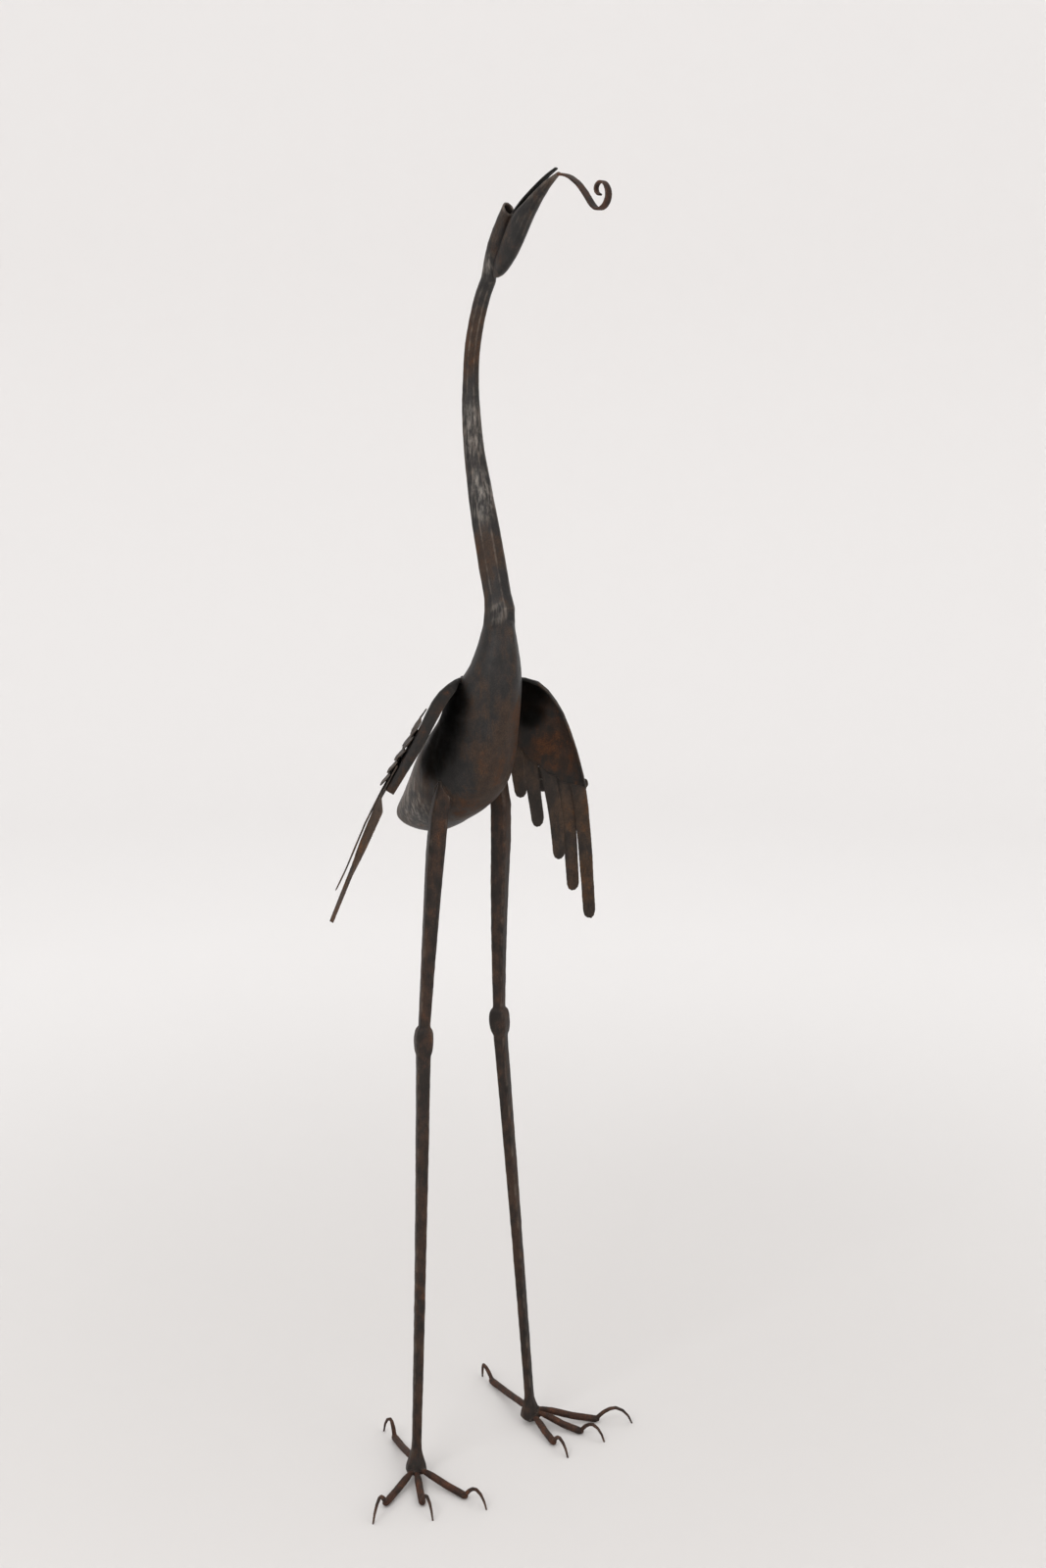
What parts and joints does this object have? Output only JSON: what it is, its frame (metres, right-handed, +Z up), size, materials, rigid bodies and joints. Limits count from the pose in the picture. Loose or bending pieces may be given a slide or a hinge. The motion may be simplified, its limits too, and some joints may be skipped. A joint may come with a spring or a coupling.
{
  "type": "wrought iron crane sculpture",
  "caption": "Standing crane forged and welded from black wrought iron: slim bar legs with clawed toes, sheet body, hanging feathered wings, long neck, open beak with a curled tongue.",
  "frame": {"origin": "floor point under the middle of the whole bird's box, on the plane of the claw tips that it stands on", "axes": "+Z up; the bird faces -Y, and its left side is +X"},
  "size_m": [0.4262, 0.3842, 1.6362],
  "materials": {
    "black_iron": "forged black iron, waxed, ground in places, faint brown rust",
    "rusted_bar": "forged bar, dark brown with a thin even rust",
    "toe_iron": "round bar, brown rust, worn lighter on top",
    "rusted_sheet": "sheet iron, black scale with orange brown rust patches",
    "feather_iron": "sheet iron strips, dark brown, rustier towards the edges"
  },
  "bodies": {
    "root": {"body": "black_iron", "neck": "black_iron", "right_leg": "rusted_bar", "left_leg": "rusted_bar", "crown": "black_iron", "jaw": "black_iron", "upper_beak": "black_iron", "tongue": "rusted_bar", "right_outer_toe": "toe_iron", "right_middle_toe": "toe_iron", "right_inner_toe": "toe_iron", "right_hind_toe": "toe_iron", "right_wing_sheet": "rusted_sheet", "right_long_feather_1": "feather_iron", "right_long_feather_2": "feather_iron", "right_long_feather_3": "feather_iron", "right_long_feather_4": "feather_iron", "right_long_feather_5": "feather_iron", "right_short_feather_row_1": "feather_iron", "right_short_feather_row_2": "feather_iron", "right_short_feather_row_3": "feather_iron", "right_short_feather_row_4": "feather_iron", "right_short_feather_row_5": "feather_iron", "left_outer_toe": "toe_iron", "left_middle_toe": "toe_iron", "left_inner_toe": "toe_iron", "left_hind_toe": "toe_iron", "left_wing_sheet": "rusted_sheet", "left_long_feather_1": "feather_iron", "left_long_feather_2": "feather_iron", "left_long_feather_3": "feather_iron", "left_long_feather_4": "feather_iron", "left_long_feather_5": "feather_iron", "left_short_feather_row_1": "feather_iron", "left_short_feather_row_2": "feather_iron", "left_short_feather_row_3": "feather_iron", "left_short_feather_row_4": "feather_iron", "left_short_feather_row_5": "feather_iron"}
  },
  "joints": []
}
